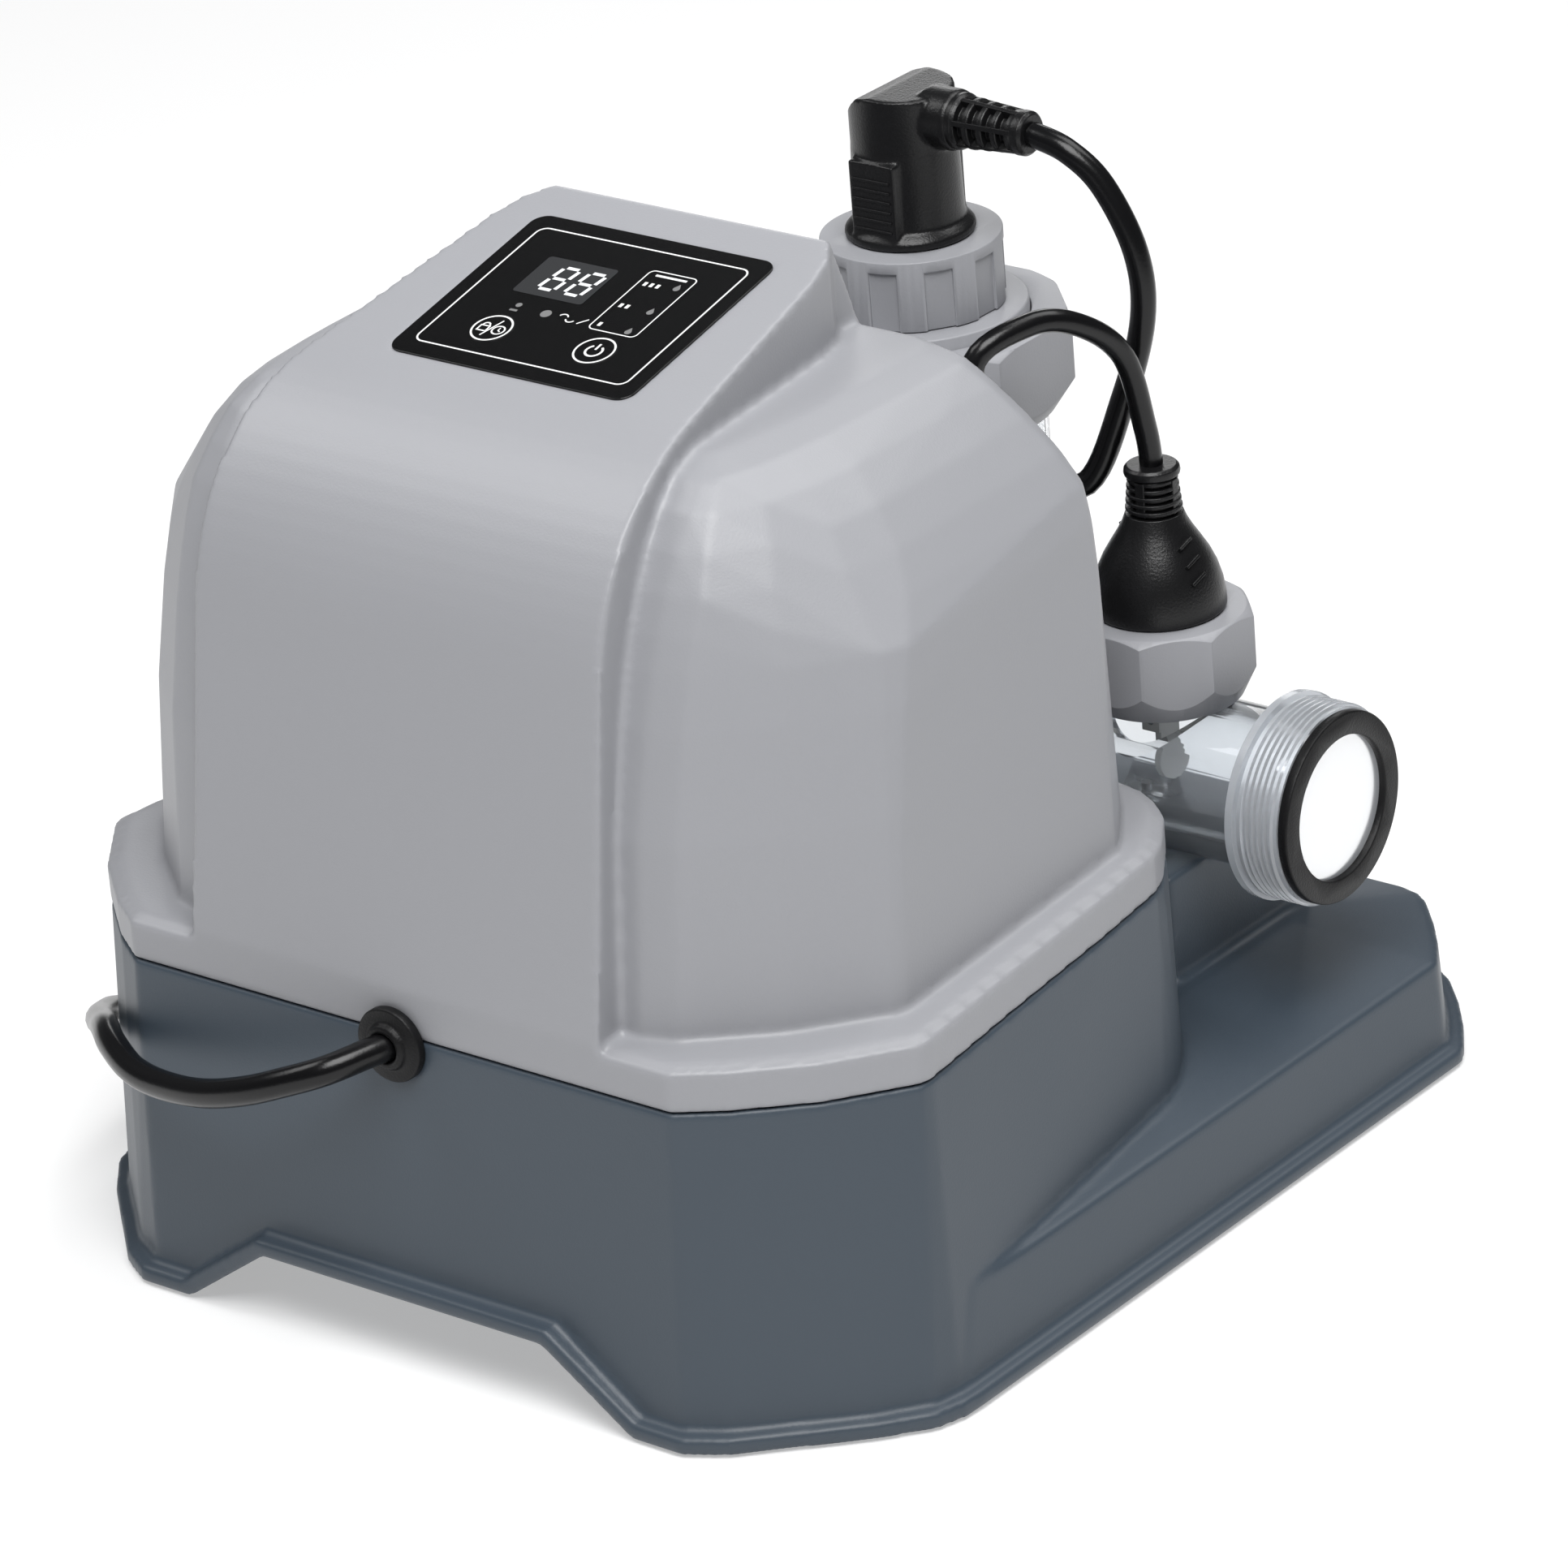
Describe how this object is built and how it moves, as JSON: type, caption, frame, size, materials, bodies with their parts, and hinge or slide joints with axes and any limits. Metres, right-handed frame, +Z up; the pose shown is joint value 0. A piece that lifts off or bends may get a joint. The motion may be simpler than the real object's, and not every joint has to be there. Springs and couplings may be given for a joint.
{
  "type": "salt chlorine generator",
  "caption": "Salt chlorine generator for a pool: grey two-part housing with a sloping control panel, clear flow pipe with cell and flow sensor behind, cord in a coil.",
  "frame": {"origin": "middle of the footprint on the floor, under the housing and pipe; the cord, coil and plug are left out of it", "axes": "+Z up, front face towards -Y, control panel faces up and towards -Y, outlet end of the pipe towards +X"},
  "size_m": [0.448, 0.418, 0.2947],
  "materials": {
    "base_grey": "satin",
    "rubber": "matte",
    "steel": "brushed",
    "cover_grey": "satin",
    "panel_film": "satin",
    "lcd": "gloss",
    "led": "gloss",
    "black_plastic": "satin",
    "circuit_board": "satin",
    "transformer": "satin",
    "aluminium": "brushed",
    "terminal": "satin",
    "clear_plastic": "clear",
    "titanium": "dull",
    "cord_sheath": "satin",
    "white_plastic": "satin"
  },
  "bodies": {
    "housing": {"base_housing": "base_grey", "bottom_plate": "base_grey", "rubber_feet": "rubber", "bottom_plate_screws": "steel", "top_cover": "cover_grey", "cover_screws": "steel", "membrane_panel": "panel_film", "display_module": "lcd", "indicator_leds": "led", "button_switches": "black_plastic", "display_board": "circuit_board", "display_board_screws": "steel", "power_board": "circuit_board", "transformer": "transformer", "heat_sink": "aluminium", "terminal_block": "terminal", "board_standoffs": "steel", "board_screws": "steel", "cord_clamp": "black_plastic", "cord_clamp_screws": "steel", "cord_grommet": "rubber", "lead_grommets": "rubber", "flow_body": "clear_plastic", "pipe_screws": "steel", "inlet_gasket": "rubber", "outlet_gasket": "rubber", "cell_head": "cover_grey", "cell_o_ring": "rubber", "electrode_plates": "titanium", "electrode_terminals": "steel", "cell_plug": "black_plastic", "cell_lead": "cord_sheath", "sensor_body": "white_plastic", "sensor_o_ring": "rubber", "paddle_pin": "steel", "sensor_plug": "black_plastic", "sensor_lead": "cord_sheath", "power_cord": "cord_sheath", "power_cord_coil": "cord_sheath", "mains_plug": "black_plastic"},
    "power_button_body": {"power_button": "panel_film"},
    "timer_button_body": {"timer_button": "panel_film"},
    "cell_nut_body": {"cell_nut": "cover_grey"},
    "cell_collar_body": {"cell_collar": "cover_grey"},
    "sensor_nut_body": {"sensor_nut": "cover_grey"},
    "sensor_paddle_body": {"sensor_paddle": "white_plastic"}
  },
  "joints": [
    {"name": "power_button_press", "type": "slide", "parent": "housing", "child": "power_button_body", "axis": [0, 0.2181, -0.9759], "range_m": [0, 0.0005], "stiffness_N_per_m": 400},
    {"name": "timer_button_press", "type": "slide", "parent": "housing", "child": "timer_button_body", "axis": [0, 0.2181, -0.9759], "range_m": [0, 0.0005], "stiffness_N_per_m": 400},
    {"name": "cell_nut_turn", "type": "hinge", "parent": "housing", "child": "cell_nut_body", "pos_m": [0, 0.0905, 0.2055], "axis": [0, 0, 1], "range_deg": [0, 360]},
    {"name": "cell_collar_turn", "type": "hinge", "parent": "housing", "child": "cell_collar_body", "pos_m": [0, 0.0905, 0.237], "axis": [0, 0, 1], "range_deg": [0, 90]},
    {"name": "sensor_nut_turn", "type": "hinge", "parent": "housing", "child": "sensor_nut_body", "pos_m": [0.081, 0.0905, 0.14], "axis": [0, 0, 1], "range_deg": [0, 360]},
    {"name": "sensor_paddle_swing", "type": "hinge", "parent": "housing", "child": "sensor_paddle_body", "pos_m": [0.081, 0.0905, 0.1133], "axis": [0, -1, 0], "range_deg": [0, 28]}
  ]
}
